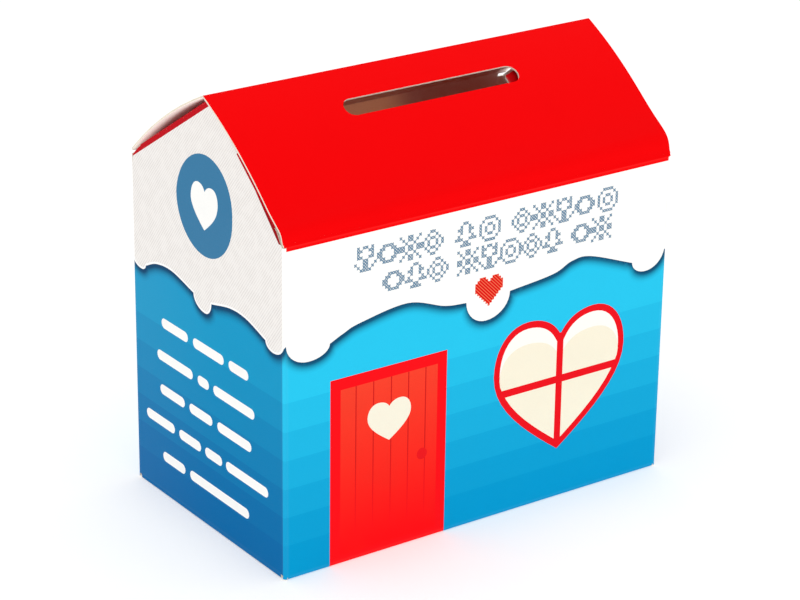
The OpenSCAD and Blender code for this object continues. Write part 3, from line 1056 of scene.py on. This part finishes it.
def gable_flap(side, end):
    """side is left or right, end is front or back."""
    foot = FRONT_FOOT if end == "front" else Vector((-BACK_FOOT.x, BACK_FOOT.y))
    slope = math.atan2(TOP.y - foot.y, TOP.x - foot.x)
    to_hinge = (Matrix.Translation((-HALF_W, 0, LEAN_Z)) @ Matrix.Rotation(LEAN, 4, "Y")
                @ Matrix.Translation((BEAD, foot.x, foot.y)) @ Matrix.Rotation(slope, 4, "X")
                @ Matrix.Rotation(math.pi / 2, 4, "Z"))
    flip = Vector((-1 if side == "right" else 1, -1 if end == "back" else 1, 1))
    rise = math.radians(4)
    turn = Matrix.Rotation(-rise, 4, "X")

    def on_flap(u, w, depth):
        # the free edge of a scored flap curls up a little
        curl = 0.25 * (w / 35) ** 2
        return (to_hinge @ turn @ Vector((u, -w, BEAD - depth + curl))) * flip

    def on_fold(u, p):
        return (to_hinge @ Vector((u, -p.x, p.y))) * flip

    long = (TOP - foot).length
    start, far, deep, near_r, far_r = 6.0, long - 1.0, 35.0, 3.0, 1.0
    near_x = start + deep * math.tan(math.radians(8)) + near_r
    far_x = far - deep * math.tan(math.radians(15)) - far_r
    ring = ([(start, TURN_GAP), (far, TURN_GAP)]
            + arc((far_x, deep - far_r), far_r, 0, 90, 5)
            + arc((near_x, deep - near_r), near_r, 90, 180, 7))
    body = f"{side}_{end}_flap"
    flap = board(f"board_{body}", [ring], on_flap, "flap_red_shaded", (), ribs(TURN_GAP, deep, 12, 34, 5),
                 {"rub": edge_rub(start, far, TURN_GAP, deep, 0.45, 0.15)}, True)
    settle(flap, f"{side}_{end}_gable_flap", body)

    tip = Vector((TURN_GAP * math.cos(rise), TURN_GAP * math.sin(rise)))
    curve = fold_curve((0, -HOLD_GAP), (0, 0), tip, (-1, 0), 9)
    pale = [(rectangle(long * 0.62, -1, long, 5), "side_icing")] if end == "front" else []
    # the fold is printed in the darker red, which paints the shade under the roof
    strip = bent_strip(f"fold_{body}", start - 1, long - 0.6, curve, on_fold, "border_red_shaded", pale)
    span_between(strip, f"{side}_{end}_flap_crease")


for side in ("left", "right"):
    for end in ("front", "back"):
        gable_flap(side, end)


# ---------- base ----------

BASE_GAP, CUT, TAPER, WEDGE = 0.3, 0.3, 5.0, 10.0
LAYER_2 = mm_box("base_left_flap")[0].z
REACH = IN_D - BASE_GAP
TONGUE_X, TONGUE_END, TONGUE_ROOT, TONGUE_REACH, CHAMFER = 0.3, 27.8, 7.0, 14.0, 4.0


def step(t):
    t = max(0.0, min(1.0, t))
    return t * t * (3 - 2 * t)


def on_base(x, y, depth):
    """The tongue rises over the opposite flap as it crosses the middle."""
    over = step((y + BASE_GAP + TONGUE_ROOT) / TONGUE_ROOT)
    inside = step((x - TONGUE_X + 3) / 3) * step((TONGUE_END + 3 - x) / 3)
    return (x, y, depth + BOARD * over * inside)


def same(place):
    return place


def turned(place):
    """The same place on the opposite side of the base."""
    def rotated(*at):
        a, b, c = place(*at)
        return (-a, -b, c)
    return rotated


base_ring = [(-IN_W + CUT, -IN_D), (IN_W - CUT, -IN_D), (IN_W - TAPER, -BASE_GAP),
             (TONGUE_END, -BASE_GAP), (TONGUE_END, TONGUE_REACH - CHAMFER),
             (TONGUE_END - CHAMFER, TONGUE_REACH), (TONGUE_X + CHAMFER, TONGUE_REACH),
             (TONGUE_X, TONGUE_REACH - CHAMFER), (TONGUE_X, -BASE_GAP),
             (-IN_W + REACH + CUT, -BASE_GAP)]
wedge_ring = [(-IN_W, -IN_D + CUT), (-IN_W + REACH - CUT, -BASE_GAP), (-IN_W + WEDGE, -BASE_GAP),
              (-IN_W, -BASE_GAP - WEDGE)]
glue_ring = [(-IN_W + 3, -IN_D + 9), (-IN_W + 22, -BASE_GAP - 7), (-IN_W + 13, -BASE_GAP - 4),
             (-IN_W + 3, -BASE_GAP - 14)]
bleed = [(rectangle(-IN_W, -IN_D - 1, IN_W, -IN_D + 3), "front_blue")]
ramp_guides = [[(x, -BASE_GAP - TONGUE_ROOT * i / 6)] for x in range(-3, 32, 3) for i in range(7)]


def on_layer(height):
    return lambda x, y, depth: (x, y, height + depth)


for end, spin in (("front", same), ("back", turned)):
    flap = board(f"board_base_{end}", [base_ring], spin(on_base), "plain_white", bleed, ramp_guides)
    settle(flap, f"base_{end}_flap")
    wedge = board(f"board_base_{end}_wedge", [wedge_ring], spin(on_layer(0)), "plain_white")
    settle(wedge, f"base_{end}_glue_wedge")
    side = "left" if end == "front" else "right"
    glue_patch(f"glue_base_{side}", f"base_{side}_glue", wavy(glue_ring, 0.5, 2.0),
               spin(on_layer(BOARD)))

side_w, side_end, side_taper = 34.0 - BEND, IN_D - 1, 12.0
side_ring = [(-IN_W, -side_end), (-IN_W + side_w, -side_end + side_taper),
             (-IN_W + side_w, side_end - side_taper), (-IN_W, side_end)]
side_bleed = [(rectangle(-IN_W - 1, -IN_D, -IN_W + 3, IN_D), "side_blue_shaded")]
for side, spin in (("left", same), ("right", turned)):
    flap = board(f"board_base_{side}", [side_ring], spin(on_layer(LAYER_2)), "plain_white",
                 side_bleed)
    settle(flap, f"base_{side}_flap")


def foot_fold(side, half_length, wall, z_top, to_place, blue, bulge=0.0, prints=()):
    """The fold between a wall and the base; v runs from the wall to the base.

    A quarter round, whose crushed outside may bulge downward. to_place takes a place along the
    fold, the distance in from the middle of the box, and the height.
    """
    def place(u, v, depth):
        a = v / BEND
        reach = BEND - depth
        hang = bulge * math.sin(min(2 * a, math.pi)) ** 0.8 * (1 - depth / BOARD)
        return to_place(u, wall + BEND - reach * math.cos(a) - 0.25 * hang * math.sin(a),
                        z_top - reach * math.sin(a) - hang)
    ring = rectangle(-half_length, 0, half_length, ARC)
    lines = ribs(0, ARC, -half_length, half_length, 7)
    piece = board(f"fold_base_{side}", [ring], place, blue, prints, lines,
                  {"rub": lambda u, v: 0.005})
    settle(piece, f"base_{side}_crease")


def under_front(u, inward, z):
    return (u, inward, z)


def under_left(u, inward, z):
    return (inward, -u, z)


long = IN_W - CUT
foot_fold("front", long, -HALF_D, WALL_FOOT, under_front, "front_blue",
          prints=[(rectangle(DOOR_LEFT, -1, DOOR_RIGHT, 2), "door_red")])
foot_fold("back", long, -HALF_D, WALL_FOOT, turned(under_front), "front_blue")
foot_fold("left", side_end, -HALF_W, GABLE_FOOT, under_left, "side_blue_shaded", 0.5)
foot_fold("right", side_end, -HALF_W, GABLE_FOOT, turned(under_left), "side_blue_shaded", 0.5)


# ---------- camera, floor and light ----------

def camera():
    """Looks at the box from its front left, a little above, from about 0.8 m."""
    azimuth, elevation, roll = (math.radians(a) for a in (-35.3998, 22.4908, 0.7772))
    back = Vector((math.sin(azimuth) * math.cos(elevation),
                   -math.cos(azimuth) * math.cos(elevation), math.sin(elevation)))
    right = Vector((math.cos(azimuth), math.sin(azimuth), 0))
    up = back.cross(right)
    level = right * math.cos(roll) + up * math.sin(roll)
    upright = up * math.cos(roll) - right * math.sin(roll)
    width = 2 * HALF_W * MM
    data = bpy.data.cameras.new("camera")
    data.sensor_width = 36
    data.lens = 127.6632
    data.clip_start, data.clip_end = 0.05, 50
    eye = new_object("camera", data)
    axes = Matrix((level, upright, back)).transposed().to_4x4()
    place = (back * 6.3925 + level * 0.0033 + upright * 0.3843) * width
    eye.matrix_world = Matrix.Translation(place) @ axes
    bpy.context.scene.camera = eye


def floor():
    mesh = bpy.data.meshes.new("floor")
    ring = arc((0, 0), 6.0, 0, 350, 35)
    mesh.from_pydata([(x, y, 0) for x, y in ring], [], [tuple(range(len(ring)))])
    paper, shader = new_material("floor")
    for key, value in (("Base Color", (0.76, 0.76, 0.76, 1)), ("Roughness", 0.9),
                       ("Specular IOR Level", 0.1), ("Emission Color", (1, 1, 1, 1)),
                       ("Emission Strength", 0.38)):
        shader.inputs[key].default_value = value
    mesh.materials.append(paper)
    new_object("floor", mesh)


def softbox(name, place, size, power):
    data = bpy.data.lights.new(name, "AREA")
    data.shape, data.size, data.energy = "SQUARE", size, power
    lamp = new_object(name, data)
    lamp.location = place
    lamp.rotation_euler = (Vector((0, 0, 0.05)) - Vector(place)).to_track_quat("-Z", "Y").to_euler()


world = bpy.data.worlds.new("studio")
world.use_nodes = True
background = world.node_tree.nodes["Background"]
background.inputs["Color"].default_value = (1, 1, 1, 1)
background.inputs["Strength"].default_value = 0.9
bpy.context.scene.world = world
bpy.context.scene.view_settings.view_transform = "Standard"
camera()
floor()
softbox("key", (0.1, -1.6, 0.9), 0.7, 1.5)
softbox("fill", (-1.4, -0.6, 0.7), 1.2, 1.0)
softbox("low", (-1.2, -0.9, 0.14), 0.5, 1.2)
